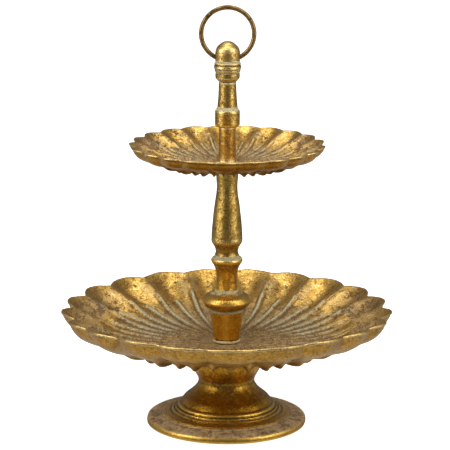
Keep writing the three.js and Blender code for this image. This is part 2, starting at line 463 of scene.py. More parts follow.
class Sketch(Board):
    """Short-hand for wiring one material."""

    def __init__(self, name: str) -> None:
        """Start a plain material with a Principled shader.

        Args:
            name: the material's.
        """
        self.material = bpy.data.materials.new(name)
        self.material.use_nodes = True
        super().__init__(self.material.node_tree)
        self.object_place = self.place("Object")

    def noise(self, size: float, detail: float = 4.0, roughness: float = 0.6, warp: float = 0.0) -> Wire:
        """Noise whose blotches are size metres apart, about 0.5 on average."""
        inputs = {"Vector": self.object_place, "Detail": detail, "Roughness": roughness, "Distortion": warp}
        return Wire(self, self.node("ShaderNodeTexNoise", Scale=1.0 / size, **inputs).outputs["Fac"])

    def mask(self, name: str) -> Wire:
        """A mask that the mesh carries; 0 where it carries none."""
        return Wire(self, self.node("ShaderNodeAttribute", {"attribute_name": name}).outputs["Fac"])

    def relief(self, height: Wire, depth: float, strength: float = 1.0, over: Wire | None = None) -> Wire:
        """Bump.

        Args:
            height: 0 to 1.
            depth: how far that is, in metres.
            strength: 0 to 1.
            over: a normal that it lies on.

        Returns:
            The normal.
        """
        inputs = {"Normal": over} if over else {}
        made = self.node("ShaderNodeBump", Height=height, Distance=depth, Strength=strength, **inputs)
        return Wire(self, made.outputs["Normal"])

    def dressed(self, inputs: dict[str, Wire | Colour | float]) -> bpy.types.Material:
        """Feed the shader.

        Args:
            inputs: what goes into its sockets, by name.

        Returns:
            The finished material.
        """
        for key, value in inputs.items():
            self.feed(self.tree.nodes["Principled BSDF"].inputs[key], value)
        return self.material


def shade(colour: Colour, share: float) -> Colour:
    """A darker colour."""
    return tuple(share * level for level in colour)


class Tone(Enum):
    """Which gold a piece was leafed with: (palest, usual, deepest) linear colours."""

    PALE = ((1.00, 0.84, 0.46), (0.64, 0.38, 0.078), (0.33, 0.17, 0.024))
    WARM = ((0.95, 0.66, 0.18), (0.64, 0.35, 0.046), (0.38, 0.19, 0.020))
    DEEP = ((0.92, 0.60, 0.14), (0.60, 0.31, 0.026), (0.34, 0.155, 0.011))
    # A deeper orange gold for the cup, partly its own colour and partly lightened to paint in reflected
    # light.
    PAINTED_LIGHT_AMBER = ((1.00, 0.66, 0.14), (0.92, 0.48, 0.034), (0.66, 0.31, 0.018))
    OLD = ((0.95, 0.74, 0.31), (0.57, 0.355, 0.078), (0.28, 0.16, 0.030))
    STRAW = ((0.98, 0.80, 0.39), (0.72, 0.48, 0.145), (0.38, 0.23, 0.055))


@dataclass(frozen=True)
class GoldLeaf:
    """Rubbed gold leaf over a brown ground, with a pale green-grey wash left in the hollows; painted shade
    darkens the hollows and painted highlights brighten the high places.

    Attributes:
        name: material name.
        tone: the leaf's colours.
        wear: how much of the ground shows through, 0 to 1.
        wash: how readily the wash stays, 0 to 1.
        roughness: of the clean leaf.
        ground: colour under the leaf.
        soot: colour in the pits.
        glaze_and_shade_colour: colour of the toning coat, also used for painted shade in the hollows.
        verdigris: colour of the wash.
        dust: colour of the dull film on flat places.
        grime_and_shade: colour of that film in the hollows, darker as painted shade.
    """

    name: str
    tone: Tone
    wear: float = 0.35
    wash: float = 0.5
    roughness: float = 0.3
    ground: Colour = (0.150, 0.072, 0.024)
    soot: Colour = (0.040, 0.020, 0.008)
    glaze_and_shade_colour: Colour = (0.155, 0.083, 0.012)
    verdigris: Colour = (0.60, 0.54, 0.32)
    dust: Colour = (0.48, 0.315, 0.130)
    grime_and_shade: Colour = (0.165, 0.098, 0.036)

    def material(self) -> bpy.types.Material:
        """Wire the finish.

        Returns:
            The material.
        """
        s = Sketch(self.name)
        patches = s.noise(0.026, 3.0, 0.55, 0.6)
        blotches = s.noise(0.0062, 6.0, 0.66, 0.4)
        specks = s.noise(0.0019, 4.0, 0.72, 0.2)
        pits = s.noise(0.0010, 2.0, 0.6)
        hollow, rubbed_and_highlit, washed, dull, deep = map(s.mask, ("hollow", "rubbed_and_highlit", "washed", "dull", "deep"))
        mottle = blotches * 0.55 + specks * 0.45

        palest, usual, deepest = self.tone.value
        leaf = s.blend(s.ease(mottle, 0.40, 0.58), deepest, usual)
        leaf = s.blend(s.ease(specks, 0.50, 0.74, 0.0, 0.8), leaf, palest)
        # Worn bright and painted highlights: the leaf turns palest where that mask is strong.
        leaf = s.blend(s.ease(rubbed_and_highlit, 0.1, 1.0, 0.0, 0.65), leaf, palest)

        # A brown toning coat in random patches, wiped off the high places; the same colour paints shade into
        # the hollows.
        _, rich, richest = Tone.DEEP.value
        leaf = s.blend(deep * 0.8, leaf, s.blend(s.ease(mottle, 0.4, 0.6), richest, rich))
        toning_and_shade = hollow * 0.72 + s.ease(patches, 0.42, 0.72, 0.0, 0.42 * self.wear)
        toning_and_shade = toning_and_shade + deep * s.ease(blotches, 0.50, 0.66, 0.0, 0.45)
        leaf = s.blend((toning_and_shade - rubbed_and_highlit * 0.3).held(), leaf, self.glaze_and_shade_colour)

        # ground: where the leaf has gone, in fine specks that crowd together in worn patches
        worn = s.ease(patches, 0.38, 0.68) * (0.11 * self.wear) + dull * 0.10 + hollow * 0.05
        worn = worn - s.most(rubbed_and_highlit, deep) * 0.05
        bare = s.ease(mottle - worn, 0.335, 0.395, 1.0, 0.0)
        black = s.ease(pits, 0.30, 0.37, 1.0, 0.0) * s.ease(worn, 0.0, 0.10, 0.25, 0.8)

        # wash: thin and dusty on flat floors, thick in grooves and on the ribs
        clings = washed * 0.62 + hollow * (0.10 * self.wash)
        clings = clings + s.ease(patches, 0.48, 0.72, 0.0, 0.20 * self.wash)
        thick = s.ease(mottle + clings, 0.74, 0.98, 0.0, 0.92)
        haze = (s.ease(blotches, 0.36, 0.62, 0.35, 1.0) * dull).held()

        dusty = s.blend(s.ease(specks, 0.40, 0.60), shade(self.dust, 0.66), self.dust)
        chalky = s.blend(s.ease(specks, 0.38, 0.62), shade(self.verdigris, 0.62), self.verdigris)
        colour = s.blend(bare, leaf, self.ground)
        # Painted shade: the dull film darkens in the hollows.
        colour = s.blend(haze, colour, s.blend(hollow * 0.85, dusty, self.grime_and_shade))
        colour = s.blend(black * 0.8, colour, self.soot)
        covered = s.most(thick, haze * 0.85, black * 0.7, bare * 0.5)
        patchy = s.ease(mottle, 0.38, 0.62, self.roughness + 0.10, self.roughness - 0.04)
        cast = s.relief(mottle, 0.0014, 0.55)
        return s.dressed(
            {
                "Base Color": s.blend(thick, colour, chalky),
                "Metallic": s.ease(covered, 0.0, 1.0, 1.0, 0.0),
                "Roughness": (patchy + covered * 0.40).held(),
                "Normal": s.relief(thick * 0.6 - bare, 0.00025, 0.7, cast),
            }
        )


@dataclass(frozen=True)
class Metal:
    """Plain metal that is slightly scratched and stained.

    Attributes:
        name: material name.
        clean: colour of the bare metal.
        stain: colour where it has tarnished.
        tarnish: how much has, 0 to 1.
        roughness: of the clean metal.
    """

    name: str
    clean: Colour
    stain: Colour
    tarnish: float = 0.3
    roughness: float = 0.3

    def material(self) -> bpy.types.Material:
        """Wire the finish.

        Returns:
            The material.
        """
        s = Sketch(self.name)
        level = s.noise(0.009, 5.0, 0.65, 0.8) * 0.6 + s.noise(0.0016, 4.0, 0.7) * 0.4
        level = level + s.mask("hollow") * 0.2
        stained = s.ease(level, 0.60 - 0.25 * self.tarnish, 0.78 - 0.25 * self.tarnish)
        return s.dressed(
            {
                "Base Color": s.blend(stained, self.clean, self.stain),
                "Metallic": 1.0,
                "Roughness": s.ease(stained, 0.0, 1.0, self.roughness, self.roughness + 0.28),
                "Normal": s.relief(level, 0.0004, 0.4),
            }
        )


@dataclass(frozen=True)
class SoftStuff:
    """Matt rubber or felt.

    Attributes:
        name: material name.
        dark: colour in the hollows of the texture.
        light: colour on top.
        fibre: size of the texture in metres.
        depth: depth of the texture in metres.
    """

    name: str
    dark: Colour
    light: Colour
    fibre: float
    depth: float

    def material(self) -> bpy.types.Material:
        """Wire the finish.

        Returns:
            The material.
        """
        s = Sketch(self.name)
        lint = s.noise(self.fibre, 6.0, 0.75, 1.5)
        tint = lint * 0.7 + s.noise(self.fibre * 14, 3.0, 0.5) * 0.3
        return s.dressed(
            {
                "Base Color": s.blend(s.ease(tint, 0.35, 0.65), self.dark, self.light),
                "Roughness": s.ease(lint, 0.3, 0.7, 0.95, 0.8),
                "Normal": s.relief(lint, self.depth, 0.8),
            }
        )


@dataclass(frozen=True)
class Finishes:
    """The materials of the whole stand.

    Attributes:
        dish: of both dishes.
        foot: of the bell foot.
        stem: of the knop and the trumpet neck.
        cup: of the ferrule.
        column: of the baluster.
        sleeve: of the tube over the upper dish.
        finial: of the collars and the spindle neck.
        dome: of the finial's dome.
        ring: of the ring handle.
        brass: of the inserts.
        steel: of rods, nuts, washers and plate.
        rubber: of the gaskets.
        felt: under the foot.
    """

    dish: bpy.types.Material
    foot: bpy.types.Material
    stem: bpy.types.Material
    cup: bpy.types.Material
    column: bpy.types.Material
    sleeve: bpy.types.Material
    finial: bpy.types.Material
    dome: bpy.types.Material
    ring: bpy.types.Material
    brass: bpy.types.Material
    steel: bpy.types.Material
    rubber: bpy.types.Material
    felt: bpy.types.Material

    @classmethod
    def mixed(cls) -> Finishes:
        """Make every finish once.

        Returns:
            All of them.
        """
        # The foot's dust and the film in its hollows are pale: partly real dust, partly painted light on a
        # flange the dish above keeps in shade.
        dusty = {"dust": (1.0, 0.73, 0.40), "grime_and_shade": (0.78, 0.56, 0.30)}
        finishes = {
            "dish": GoldLeaf("leaf_dish", Tone.PALE, wear=0.7, wash=0.6),
            "foot": GoldLeaf("leaf_foot", Tone.DEEP, wear=0.6, wash=0.35, roughness=0.27, **dusty),
            "stem": GoldLeaf("leaf_stem", Tone.WARM, wear=0.6, wash=0.5, roughness=0.26),
            "cup": GoldLeaf("leaf_cup", Tone.PAINTED_LIGHT_AMBER, wear=0.7, wash=0.6, roughness=0.24),
            "column": GoldLeaf("leaf_column", Tone.OLD, wear=0.8, wash=0.65, roughness=0.24),
            "sleeve": GoldLeaf("leaf_sleeve", Tone.PALE, wear=0.2, wash=0.3, roughness=0.30),
            "finial": GoldLeaf("leaf_finial", Tone.OLD, wear=0.7, wash=0.6, roughness=0.24),
            "dome": GoldLeaf("leaf_dome", Tone.STRAW, wear=0.5, wash=0.7, roughness=0.28),
            "ring": Metal("aged_brass", (0.33, 0.20, 0.065), (0.085, 0.048, 0.02), 0.7, 0.34),
            "brass": Metal("turned_brass", (0.80, 0.58, 0.24), (0.42, 0.27, 0.10), 0.15, 0.22),
            "steel": Metal("zinc_steel", (0.66, 0.68, 0.69), (0.34, 0.34, 0.34), 0.2, 0.28),
            "rubber": SoftStuff("black_rubber", (0.012, 0.011, 0.010), (0.035, 0.032, 0.030), 0.0012, 0.0002),
            "felt": SoftStuff("wool_felt", (0.022, 0.014, 0.009), (0.085, 0.058, 0.040), 0.0008, 0.0006),
        }
        return cls(**{name: finish.material() for name, finish in finishes.items()})


# ---- Pieces ----


def directions(sides: int) -> np.ndarray:
    """Even directions round the stem's axis, in radians from +X."""
    return np.arange(sides) * TURN / sides


class Body(Enum):
    """The moving bodies that pieces ride on."""

    STAND = "stand"
    LIFT = "finial_lift"
    FINIAL = "finial"
    RING = "ring"


def settle(piece: bpy.types.Object, node: str, body: Body) -> bpy.types.Object:
    """Tie a finished piece to the frame and report it.

    Args:
        piece: the piece, already in place.
        node: the solid it stands for.
        body: the body it moves with.

    Returns:
        The same piece.
    """
    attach(piece, body.value)
    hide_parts(node)
    LOG.info("%s: %d points on %s", piece.name, len(piece.data.vertices), body.value)
    return piece


@dataclass(frozen=True)
class Band:
    """A belt round a turned piece where a mask is strong.

    Attributes:
        height: middle of the belt above the piece's lowest point, in millimetres.
        half: half of its width, in millimetres.
        amount: strength of the mask there.
    """

    height: float
    half: float
    amount: float = 1.0


@dataclass(frozen=True)
class TurnedPiece:
    """A solid of revolution on the stem's axis, with the slight unevenness of a casting.

    Attributes:
        node: the solid it stands for.
        outline: its half-section.
        washed: belts that hold the pale wash.
        rubbed_and_highlit: belts worn bright, also painted highlights.
        dusted: belts where dust dulls the leaf.
        body: the body it moves with.
        slot: not used.
        sides: points round the axis.
        waver: depth of the unevenness, in millimetres.
        painted_reflection_streaks: how strongly upright strips of painted reflection, bright and dark, run
            round the piece, 0 to 1.
    """

    node: str
    outline: Outline
    washed: tuple[Band, ...] = ()
    rubbed_and_highlit: tuple[Band, ...] = ()
    dusted: tuple[Band, ...] = ()
    body: Body = Body.STAND
    slot: str = "gold_leaf"
    sides: int = 128
    waver: float = 0.22
    painted_reflection_streaks: float = 0.0

    def belt(self, bands: Iterable[Band], heights: np.ndarray) -> np.ndarray:
        """The strongest of some bands.

        Args:
            bands: the belts.
            heights: above the piece's lowest point, in millimetres.

        Returns:
            Their strength at each height.
        """
        out = np.zeros_like(heights)
        for band in bands:
            away = np.abs(heights - band.height)
            out = np.maximum(out, band.amount * (1 - smoothstep(0.4 * band.half, 1.3 * band.half, away)))
        return out

    def skin(self) -> Skin:
        """The piece's surface.

        Returns:
            The surface with its masks.
        """
        loop = self.outline.sampled()
        angles = directions(self.sides)
        radial = np.stack([np.cos(angles), np.sin(angles), np.zeros(self.sides)], axis=1)
        grid = loop[:, 0, None, None] * MM * radial[None, :, :]
        grid[:, :, 2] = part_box(self.node)[0][2] + loop[:, 1, None] * MM

        if self.waver:
            tangent = np.roll(loop, -1, axis=0) - np.roll(loop, 1, axis=0)
            tangent /= np.maximum(np.linalg.norm(tangent, axis=1, keepdims=True), 1e-9)
            facing_out = np.clip(tangent[:, 1], 0, 1) * smoothstep(3.0, 6.0, loop[:, 0])
            points, seed = grid.reshape(-1, 3), len(self.node)
            bumps = 0.65 * grain(points, 0.011, seed) + 0.35 * grain(points, 0.0042, seed + 1)
            depth = (bumps.reshape(grid.shape[:2]) - 0.45) * self.waver * MM * facing_out[:, None]
            grid += depth[:, :, None] * radial[None, :, :]

        swell = bulge(loop, 2.2)
        wide = np.ones((1, self.sides))
        # Painted reflection: upright bright and dark strips, fixed in direction round the axis.
        reflection_streak = self.painted_reflection_streaks * np.cos(5 * angles - 0.5 * math.pi + 0.35 * np.sin(3 * angles))[None, :]
        # Convex places and the belts are worn bright and carry painted highlights; concave places carry
        # painted shade.
        bright = np.maximum(smoothstep(0.12, 0.6, swell), self.belt(self.rubbed_and_highlit, loop[:, 1]))
        masks = {
            "hollow": np.maximum(smoothstep(0.05, 0.5, -swell)[:, None] * wide, 0.4 * reflection_streak),
            "rubbed_and_highlit": np.maximum(bright[:, None] * wide, -1.2 * reflection_streak),
            "washed": self.belt(self.washed, loop[:, 1])[:, None] * wide,
            "dull": self.belt(self.dusted, loop[:, 1])[:, None] * wide,
        }
        return Skin(grid, masks)

    def build(self, material: bpy.types.Material) -> bpy.types.Object:
        """Make the piece in place and dress it."""
        piece = self.skin().build(f"{self.node}_shown", material)
        return settle(piece, self.node, self.body)


def ring_outline(bore: float, radius: float, height: float, softness: float = 0.3) -> Outline:
    """Half-section of a plain ring with softened edges."""
    loop = straight((bore, 0), (radius, 0), (radius, height), (bore, height))
    return Outline((loop,), softness=softness, step=max(1.0, radius / 24))


@dataclass(frozen=True)
class PlainRing:
    """A washer, gasket or disc.

    Attributes:
        node: the solid it stands for.
        bore: radius of its hole, in millimetres.
        radius: outside.
        height: its thickness.
        softness: how far its edges are softened.
        slot: passed on to the turned piece, which does not use it.
        body: the body it moves with.
    """

    node: str
    bore: float
    radius: float
    height: float
    softness: float = 0.3
    slot: str = "steel"
    body: Body = Body.STAND

    def build(self, material: bpy.types.Material) -> None:
        """Make the ring in place and dress it."""
        outline = ring_outline(self.bore, self.radius, self.height, self.softness)
        TurnedPiece(self.node, outline, slot=self.slot, body=self.body, waver=0.0).build(material)


@dataclass(frozen=True)
class Knurled(TurnedPiece):
    """A threaded insert: a ring with two knurled belts round it.

    Attributes:
        ridges: ridges of the knurl.
        cut: depth of the knurl, in millimetres.
    """

    ridges: int = 28
    cut: float = 0.35
    sides: int = 168
    waver: float = 0.0
    slot: str = "brass"

    def skin(self) -> Skin:
        """The ring with its knurl cut in and a groove between the belts.

        Returns:
            The surface with its masks.
        """
        plain = super().skin()
        radius = np.linalg.norm(plain.grid[:, :, :2], axis=2)
        outer = smoothstep(0.93, 0.99, radius / radius.max())
        height = plain.grid[:, :, 2]
        middle = 1 - smoothstep(0.0008, 0.0012, np.abs(height - 0.5 * (height.min() + height.max())))
        ridge = 0.5 - 0.5 * np.cos(self.ridges * directions(self.sides))[None, :]
        depth = np.maximum(ridge * (1 - middle), 1.6 * middle) * self.cut * MM * outer
        plain.grid[:, :, :2] *= (1 - depth / np.maximum(radius, MM))[:, :, None]
        plain.masks["hollow"] = np.clip(depth / (self.cut * MM), 0, 1)
        return plain


@dataclass(frozen=True)
class ThreadedRod:
    """A rod with a rolled thread over its whole length.

    Attributes:
        node: the solid it stands for.
        pitch: of the thread, in millimetres.
        sides: points round the axis.
        rows_per_pitch: points along one pitch.
    """

    node: str
    pitch: float
    sides: int = 24
    rows_per_pitch: int = 6

    def build(self, material: bpy.types.Material) -> bpy.types.Object:
        """Make the rod in place and dress it.

        Args:
            material: its finish.

        Returns:
            The piece.
        """
        low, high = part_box(self.node)
        radius, length = float(high[0]), float(high[2] - low[2])
        pitch = self.pitch * MM
        rows = round(length / pitch * self.rows_per_pitch)
        z = np.linspace(0, length, rows + 1)[:, None]
        angles = directions(self.sides)[None, :]
        phase = np.mod(z / pitch - angles / TURN, 1.0)
        tooth = np.clip(np.abs(2 * phase - 1) * 1.25, 0, 1)
        depth = 0.6 * pitch * tooth
        end = np.minimum(z, length - z)
        r = np.minimum(radius - depth, radius - 0.7 * pitch + end)
        grid = np.stack([r * np.cos(angles), r * np.sin(angles), low[2] + z + 0 * angles], axis=2)
        cap = np.zeros((1, self.sides, 3))
        bottom, top = cap + [0, 0, float(low[2])], cap + [0, 0, float(high[2])]
        groove = np.vstack([cap[:, :, 0], tooth, cap[:, :, 0]])
        skin = Skin(np.vstack([bottom, grid, top]), {"hollow": groove}, looped=False)
        return settle(skin.build(f"{self.node}_shown", material), self.node, Body.STAND)


@dataclass(frozen=True)
class HexNut:
    """A hexagon nut with chamfered corners and a countersunk bore.

    Attributes:
        node: the solid it stands for.
        flats: width across the flats, in millimetres.
        bore: radius of the bore, in millimetres.
        sides: points round the axis.
    """

    node: str
    flats: float
    bore: float
    sides: int = 96

    def build(self, material: bpy.types.Material) -> bpy.types.Object:
        """Make the nut in place and dress it.

        Args:
            material: its finish.

        Returns:
            The piece.
        """
        low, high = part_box(self.node)
        tall = float(high[2] - low[2]) / MM
        angles = directions(self.sides)
        hexagon = 0.5 * self.flats / np.cos(np.mod(angles, TURN / 6) - TURN / 12)
        chamfer_start, chamfer_slope, sink = 0.475 * self.flats, 1.73, 0.5
        bore, mouth = (np.full(self.sides, self.bore + wider) for wider in (0.0, sink))
        rises = [0.0, 0.15, 0.3, 0.45, 0.6, 0.8, 1.0, 1.3]
        heights = rises + [tall - rise for rise in reversed(rises)]
        rows = [(bore, sink), (mouth, 0.0)]
        rows += [(np.minimum(hexagon, chamfer_start + chamfer_slope * min(h, tall - h)), h) for h in heights]
        rows += [(mouth, tall), (bore, tall - sink)]
        r = np.array([radius for radius, _ in rows]) * MM
        z = float(low[2]) + np.array([height for _, height in rows])[:, None] * MM
        grid = np.stack([r * np.cos(angles), r * np.sin(angles), z + 0 * r], axis=2)
        nut = Skin(grid).build(f"{self.node}_shown", material)
        nut.data.polygons.foreach_set("use_smooth", [False] * len(nut.data.polygons))
        return settle(nut, self.node, Body.STAND)


# ---- Sub-assemblies ----


@dataclass
class Foot:
    """Bell foot with its felt, plate, rod end fittings and gasket.

    Attributes:
        radius: of the flange, in millimetres.
        bore: clearance for the rod.
        felt: radius of the felt disc.
        plate: radius of the steel plate.
    """

    radius: float = 88.9
    bore: float = 4.4
    felt: float = 84.0
    plate: float = 56.0

    def bell(self) -> TurnedPiece:
        """The hollow cast bell with its stepped flange.

        Returns:
            The piece, to be built.
        """
        r = self.radius
        return TurnedPiece(
            "pedestal",
            half_section(
                straight((self.bore, 65.6), (27, 65.6)),
                flowing((25.5, 51.6), (34, 35.6), (50, 15.6)),
                straight((50, 11.7), (self.plate + 0.5, 11.7), (self.plate + 0.5, 1.1)),
                straight((self.felt + 0.4, 1.1), (self.felt + 0.4, 0), (r - 1.6, 0)),
                flowing((r - 0.4, 0.8), (r, 2.8), (r - 0.2, 5.0), (r - 1.2, 6.9), (r - 3.2, 7.9)),
                straight((74.5, 9.7), (71.6, 10.1)),
                flowing((70.6, 11.6), (68.9, 13.2), (66.4, 14.2), (64.1, 14.5), (62.6, 13.9)),
                flowing((61.6, 15.0), (60.4, 16.3), (58.9, 16.7), (57.8, 16.3)),
                flowing((57.2, 17.6), (56.4, 18.6), (55.0, 18.8)),
                flowing((54.7, 20.2), (54.2, 21.6), (53.0, 22.6), (51.6, 23.6)),
                flowing((46.8, 29.8), (40.6, 34.9), (35.7, 39.6), (32.6, 44.2), (31.4, 48.2), (32.0, 52.4)),
                flowing((34.2, 56.4), (36.7, 60.8), (39.0, 66.2), (40.6, 71.8)),
                straight((42, 76), (42, 78.6), (self.bore, 78.6)),
                softness=0.4,
                step=0.9,
            ),
            washed=(Band(16.9, 0.7, 0.42), Band(37, 9, 0.34), Band(51, 3, 0.25), Band(77.5, 1.5, 0.4)),
            # Worn bright, with painted highlights.
            rubbed_and_highlit=(Band(22.2, 0.9, 0.9), Band(6.6, 1.4, 0.8), Band(14.2, 0.8, 0.7), Band(45.0, 2.0, 0.3)),
            # Pale dust on the flange top: partly real dust, partly painted light.
            dusted=(Band(8.9, 2.5, 0.95), Band(12.0, 1.4, 0.3)),
            sides=224,
            waver=0.3,
        )

    def build(self, finishes: Finishes) -> None:
        """Make every piece of the foot.

        Args:
            finishes: the stand's materials.
        """
        self.bell().build(finishes.foot)
        PlainRing("base_felt", 0.0, self.felt - 0.2, 1.5, 0.5, slot="felt").build(finishes.felt)
        plate = half_section(
            straight((self.bore, 0), (12, 0), (14, 0.8), (46, 0.8), (48, 0), (self.plate, 0)),
            straight((self.plate, 1.2), (48.4, 1.2), (46.4, 2), (13.6, 2), (11.6, 1.2), (self.bore, 1.2)),
            softness=0.3,
            step=2.0,
        )
        TurnedPiece("base_plate", plate, slot="steel", waver=0.0).build(finishes.steel)
        PlainRing("base_washer", self.bore, 8, 1.6).build(finishes.steel)
        HexNut("base_nut", 13, 4.0).build(finishes.steel)
        PlainRing("pedestal_gasket", self.bore, 38, 1.0, slot="rubber").build(finishes.rubber)


@dataclass
class ShellDish:
    """A cast dish: ribbed floor, lobed upturned edge, grooved underside.

    Lengths and radii are the full-size dish's millimetres. A smaller one is scaled to its solid.

    Attributes:
        node: the solid it stands for.
        first_lobe: direction of one lobe's crest, in degrees from +X.
        bore: radius of the centre hole, in the dish's own millimetres.
        across: points round each lobe.
        sway: how far the lobes stand off an even spacing, in degrees: all, towards +Y, towards +X.
        radius: to the tips of the lobes.
        rise: from the seat to the lobe tips.
        floor: height of the flat middle above the seat.
        flat: radius of that middle.
        lobes: round the edge.
        notch: how far the edge is drawn in between lobes.
        drop: how far it also dips there.
        edge: radius where the inside turns into the edge.
        lip: thickness of the edge.
        rib: height of the floor ribs.
        rib_ends: radii where the ribs under crests and those under notches end.
        trough: how far the floor sags between ribs.
        troughs: where it does.
        flute: how far the middle of each lobe sinks on the slope.
        slope: where it does.
        ridge_rise: how far the sharp ridges between the lobes stand up.
        ridges: where they do.
        chalked: where those ridges hold dust.
        side_shading: where the lobes at the left and right are darkened and dulled with painted shade.
        belly: the underside between its ribs, as (radius, height) points.
        full: where the underside is fuller on the side of -Y.
        tooth: how far the ribs of the underside hang down where the wall turns up.
        teeth: where they do.
        low_ribs: where they hang down less, nearer the middle.
        pinch: how far the creases between the lobes cut into the outer wall.
        creases: where they do.
        front_rise: how much higher the edge stands on the side of -Y.
        outer_tone: how deep a gold the outside has, 0 to 1.
        crease_wash: how much wash the creases of the outside hold, 0 to 1.
        rib_wash: how much wash the floor ribs hold, 0 to 1.
    """

    node: str
    first_lobe: float
    bore: float
    across: int = 24
    sway: tuple[float, float, float] = (0.0, 0.6, -0.5)
    radius: float = 185.0
    rise: float = 52.0
    floor: float = 12.5
    flat: float = 35.0
    lobes: int = 21
    notch: float = 8.5
    drop: float = 1.6
    edge: float = 183.3
    lip: float = 1.9
    rib: float = 2.5
    rib_ends: tuple[float, float] = (145.0, 152.0)
    trough: float = 1.3
    troughs: Span = Span(36, 60, 132, 154)
    flute: float = 5.2
    slope: Span = Span(122, 158, 170, 184)
    ridge_rise: float = 4.2
    ridges: Span = Span(112, 150, 160, 183)
    chalked: Span = Span(136, 148, 162, 180)
    side_shading: Span = Span(132, 156, 176, 184)
    belly: tuple[Point, ...] = (
        (24, 0), (42, 0), (50, 2.2), (60, 5.0), (80, 10.2), (100, 13.4), (120, 17.4), (129, 19.4),
        (140, 21.6), (150, 23.2), (160, 25.8), (172, 32.2), (180, 41.2), (184, 49.9),
    )
    full: Span = Span(132, 152, 162, 178)
    tooth: float = 4.0
    teeth: Span = Span(90, 125, 129, 148)
    low_ribs: Span = Span(46, 70, 132, 150)
    pinch: float = 4.6
    creases: Span = Span(124, 142, 158, 181)
    front_rise: float = 3.0
    outer_tone: float = 0.78
    crease_wash: float = 0.3
    rib_wash: float = 1.0

    def size(self) -> float:
        """This dish's size relative to the full one, from its solid."""
        low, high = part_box(self.node)
        return float(high[2] - low[2]) / (self.rise * MM)

    def swayed(self, angles: np.ndarray) -> np.ndarray:
        """Where a direction would be if the lobes were evenly spaced."""
        everywhere, behind, right = self.sway
        return angles + np.radians(everywhere + behind * np.sin(angles) + right * np.cos(angles))

    def columns(self) -> np.ndarray:
        """Directions of the surface's columns, some of them exactly on every crest and notch.

        Returns:
            One row of angles.
        """
        wanted = math.radians(self.first_lobe) + directions(self.lobes * self.across)[None, :]
        angles = wanted
        for _ in range(8):
            angles = angles + wanted - self.swayed(angles)
        return angles

    def away(self, angles: np.ndarray) -> np.ndarray:
        """0 on a lobe's crest to 1 in the notch between two."""
        turns = (self.swayed(angles) - math.radians(self.first_lobe)) * self.lobes / TURN
        return 2 * np.abs(turns - np.round(turns))

    def drawn_in(self, r: np.ndarray, angles: np.ndarray) -> np.ndarray:
        """How far the surface is drawn in towards the notches.

        Args:
            r: radii.
            angles: directions.

        Returns:
            Share of the notch's depth, rounded further in and pointed at the edge.
        """
        away = self.away(angles)
        rounded = 0.5 - 0.5 * np.cos(math.pi * away)
        pointed = 0.75 * away**2 + 0.25 * rounded
        sharpness = smoothstep(0.82, 0.97, r / self.radius)
        uneven = 1 - 0.16 * np.sin(4 * angles + self.first_lobe) ** 2 - 0.12 * np.sin(9 * angles) ** 2
        uneven = uneven + 0.75 * np.cos(angles) ** 6
        return (rounded + (pointed - rounded) * sharpness) * uneven * smoothstep(0.5, 1.0, r / self.radius)

    def inside(self, r: np.ndarray, angles: np.ndarray) -> tuple[np.ndarray, Masks]:
        """The dish's inside.

        Args:
            r: radii, one row per ring.
            angles: directions, one per column.

        Returns:
            Heights above the seat and masks, shaped (rings, directions).
        """
        away = self.away(angles)
        nearest = np.minimum(away, 1 - away)
        behind = smoothstep(-0.1, 0.6, np.sin(angles))
        reach = np.maximum(0, (r - self.flat) / (self.radius - self.flat))
        height = self.floor + (self.rise - self.floor) * reach**2.6 + 0 * angles

        # a rib with a ragged end under every crest and every notch, and a sagging floor between ribs
        ragged = 1.8 * np.sin(17 * angles + 2) + 1.2 * np.sin(29 * angles)
        rib_end = np.where(away > 0.5, self.rib_ends[1], self.rib_ends[0]) + ragged
        present = smoothstep(27, 36, r) * (1 - smoothstep(rib_end - 7, rib_end, r)) ** 0.7
        half_rib = 0.45 + 0.0185 * r
        aside = nearest * math.pi / self.lobes * r / half_rib
        rib = np.clip(1 - aside**2, 0, 1) ** 1.3 * present
        sag = np.sin(math.pi * np.clip(nearest * 2, 0, 1)) ** 2
        height = height + self.rib * rib * (0.7 + 0.3 * behind) - self.trough * sag * self.troughs.at(r)

        # a flute down every lobe, and a sharp ridge between two
        slope, ridge = self.slope.at(r), 0.5 - 0.5 * np.cos(math.pi * away)
        height = height - self.flute * slope * (1 - ridge)
        height = height + self.ridge_rise * (0.35 * ridge + 0.65 * away**3.5) * self.ridges.at(r)

        # Painted shade: a dark band along both sides of every rib.
        beside = Span(0.62, 1.0, 1.2, 2.2).at(aside)
        # Painted shade: the lobes at the left and right, towards +X and -X, are darker and duller.
        side_shade = smoothstep(0.62, 0.96, np.abs(np.cos(angles))) * self.side_shading.at(r)
        dusty_ridge = ridge**3 * self.chalked.at(r)
        chalk = (0.34 + 0.66 * smoothstep(45, 96, r)) * (1 - 0.2 * smoothstep(110, 146, r))
        chalk = self.rib_wash * chalk * (0.52 + 0.48 * behind)
        floor_dust = 1 - 0.45 * smoothstep(96, 122, r) - 0.55 * smoothstep(122, 150, r)
        # Painted highlights on the shoulders of every flute and on the outer ends of the ribs.
        shoulder_highlight = np.exp(-(((away - 0.72) / 0.16) ** 2)) * slope
        masks = {
            "washed": np.maximum(rib**0.8 * chalk, 0.30 * dusty_ridge),
            "dull": np.maximum(floor_dust, np.maximum(0.4 * dusty_ridge, 0.62 * side_shade)),
            "hollow": np.clip(1.1 * beside * present + 0.8 * side_shade * (1 - 0.4 * ridge), 0, 1),
            "rubbed_and_highlit": 0.45 * np.maximum(shoulder_highlight, rib * smoothstep(104, 136, r)),
            "deep": np.zeros_like(height),
        }
        return height, masks

